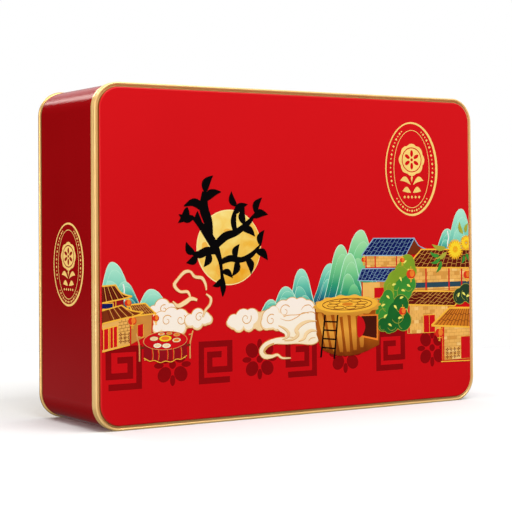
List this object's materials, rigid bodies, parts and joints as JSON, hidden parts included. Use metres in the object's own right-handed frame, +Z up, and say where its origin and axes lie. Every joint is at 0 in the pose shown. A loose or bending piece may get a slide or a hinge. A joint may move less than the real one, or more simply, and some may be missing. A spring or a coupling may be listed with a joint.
{
  "type": "mooncake gift tin",
  "caption": "Closed rectangular gift tin in red lacquer with gold rims and a raised lid panel, standing upright on its long edge.",
  "frame": {"origin": "centre of the footprint at the base, where the standing tin rests", "axes": "+Z up along the tin's short edge, +X along its long edge, the lid faces -Y"},
  "size_m": [0.3, 0.086, 0.215],
  "materials": {
    "red_wall": "satin dark red lacquer",
    "red_panel": "satin bright red lacquer",
    "gold_lid": "satin gold lacquer on tinplate",
    "gold_base": "satin gold lacquer on tinplate"
  },
  "bodies": {
    "root": {"tin_body": "red_wall", "lid": "gold_lid", "lid_panel": "red_panel", "base": "gold_base"}
  },
  "joints": []
}
